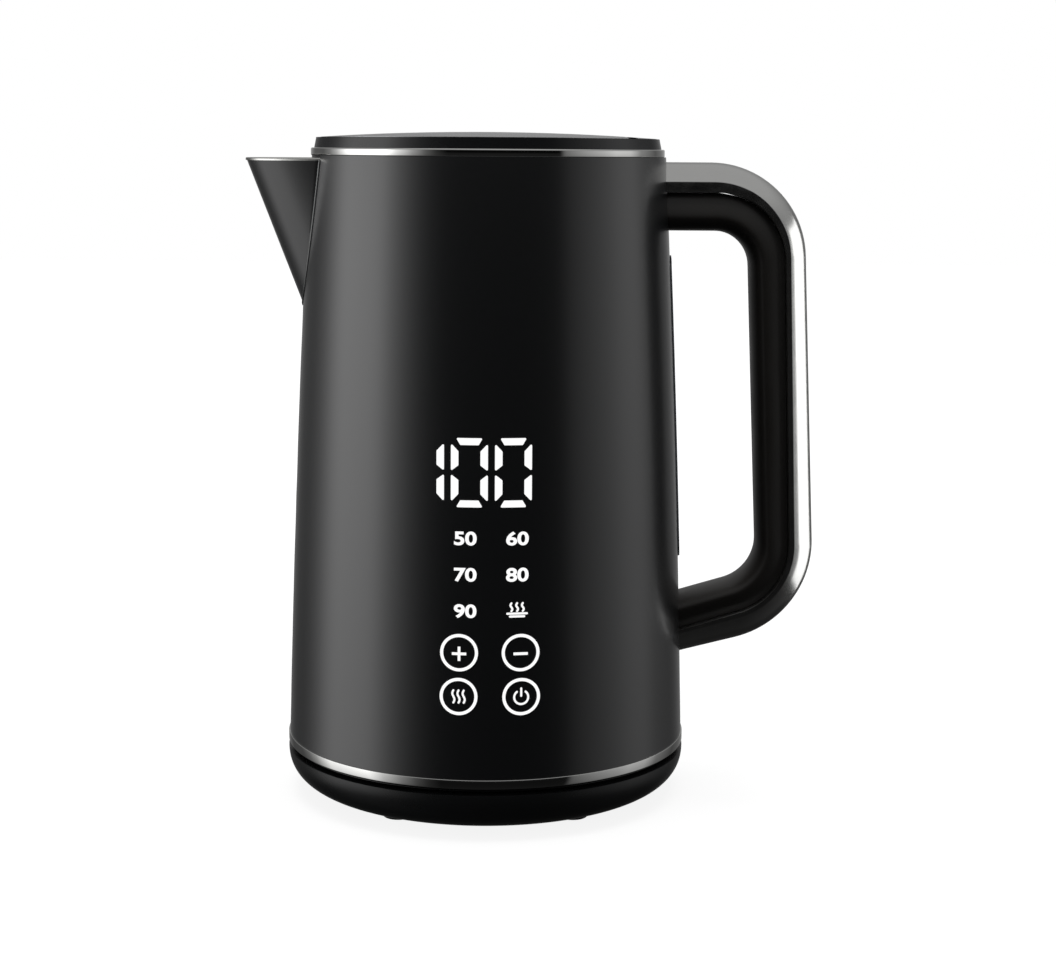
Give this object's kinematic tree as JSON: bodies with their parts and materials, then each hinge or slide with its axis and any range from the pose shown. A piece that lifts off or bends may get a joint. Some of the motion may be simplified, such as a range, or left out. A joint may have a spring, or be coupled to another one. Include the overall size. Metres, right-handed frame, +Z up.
{
  "type": "electric jug kettle",
  "caption": "Cordless digital jug kettle on its power base: V spout, hinged lid with latch button, side handle, water window and lit temperature figures",
  "frame": {"origin": "On the kettle's upright axis, at the height of the surface that the feet of the power base stand on", "axes": "+Z up along the kettle's axis, +X towards the handle with the spout at -X, -Y towards the display and keys, +Y towards the cord inlet at the back"},
  "size_m": [0.2248, 0.1588, 0.2613],
  "materials": {
    "base_plastic": "fine-grained moulded black polypropylene",
    "foot_rubber": "moulded rubber",
    "black_plastic": "moulded black plastic",
    "grip_plastic": "moulded satin black plastic",
    "inner_plastic": "moulded dark grey plastic",
    "gloss_black": "polished dark plastic",
    "smoked_plastic": "polished smoked plastic",
    "body_metal": "satin black lacquer on steel",
    "lid_metal": "satin grey metal",
    "band_metal": "satin grey plated metal",
    "pot_steel": "drawn stainless steel",
    "plated_trim": "bright plated trim",
    "steel_parts": "zinc-plated steel",
    "contact_brass": "bright brass",
    "heat_plate": "aluminium",
    "element_sheath": "aluminium sheath",
    "clear_tube": "clear borosilicate glass",
    "seal_silicone": "red silicone rubber",
    "grey_silicone": "grey silicone rubber",
    "black_seal": "black rubber",
    "circuit_board": "green glass-fibre laminate",
    "white_plastic": "moulded white plastic",
    "heat_plastic": "moulded heat-resisting plastic",
    "flex_film": "amber polyimide film",
    "lead_red": "red sleeved lead",
    "lead_brown": "brown sleeved lead",
    "lit_white": "white light through the shell"
  },
  "bodies": {
    "base": {"base_feet": "foot_rubber", "base_lower_plate": "base_plastic", "base_upper_shell": "base_plastic", "base_socket": "black_plastic", "contact_rings": "contact_brass", "cord_gland": "black_plastic", "cord_clamp": "inner_plastic", "base_screws": "steel_parts", "base_leads": "lead_brown"},
    "connector_shutter": {"connector_shutter": "inner_plastic"},
    "kettle": {"bottom_cover": "black_plastic", "bottom_trim_ring": "plated_trim", "bottom_screws": "steel_parts", "kettle_connector": "heat_plastic", "connector_prongs": "contact_brass", "chassis_ring": "heat_plastic", "outer_shell": "body_metal", "inner_pot": "pot_steel", "heating_plate": "heat_plate", "heating_element": "element_sheath", "element_terminals": "contact_brass", "boil_dry_cutout": "white_plastic", "temperature_sensor": "steel_parts", "sensor_seal": "seal_silicone", "spout": "body_metal", "filter_frame": "black_plastic", "filter_mesh": "steel_parts", "top_collar": "black_plastic", "top_trim_ring": "plated_trim", "hinge_cover": "lid_metal", "hinge_pin": "steel_parts", "handle_grip": "grip_plastic", "handle_band": "band_metal", "handle_brackets": "steel_parts", "handle_screws": "steel_parts", "water_window": "smoked_plastic", "window_gasket": "black_seal", "sight_tube": "clear_tube", "tube_seals": "seal_silicone", "control_board": "circuit_board", "display_module": "gloss_black", "touch_film": "flex_film", "touch_springs": "contact_brass", "display_digits": "lit_white", "temperature_marks": "lit_white", "key_marks": "lit_white", "power_board": "circuit_board", "relay": "white_plastic", "internal_leads": "lead_red"},
    "lid": {"lid_body": "black_plastic", "lid_top_plate": "lid_metal", "lid_inner_plate": "pot_steel", "lid_gasket": "grey_silicone", "lid_screws": "steel_parts", "lid_spring": "steel_parts", "button_spring": "steel_parts", "latch_spring": "steel_parts"},
    "lid_button": {"lid_button": "gloss_black"},
    "latch_bolt": {"latch_bolt": "inner_plastic"}
  },
  "joints": [
    {"name": "kettle_turn", "type": "hinge", "parent": "base", "child": "connector_shutter", "pos_m": [0, 0, 0.028], "axis": [0, 0, 1], "continuous": true},
    {"name": "kettle_lift", "type": "slide", "parent": "connector_shutter", "child": "kettle", "axis": [0, 0, 1], "range_m": [0, 0.1]},
    {"name": "lid_open", "type": "hinge", "parent": "kettle", "child": "lid", "pos_m": [0.0545, 0, 0.2575], "axis": [0, 1, 0], "range_deg": [0, 80], "deforming": ["lid_spring"]},
    {"name": "button_press", "type": "slide", "parent": "lid", "child": "lid_button", "axis": [0, 0, -1], "range_m": [0, 0.003], "stiffness_N_per_m": 300, "deforming": ["button_spring"]},
    {"name": "latch_slide", "type": "slide", "parent": "lid", "child": "latch_bolt", "axis": [1, 0, 0], "range_m": [0, 0.0026], "stiffness_N_per_m": 100, "deforming": ["latch_spring"]}
  ],
  "couplings": [
    {"joint": "latch_slide", "follows": "button_press", "ratio": 0.8666}
  ]
}
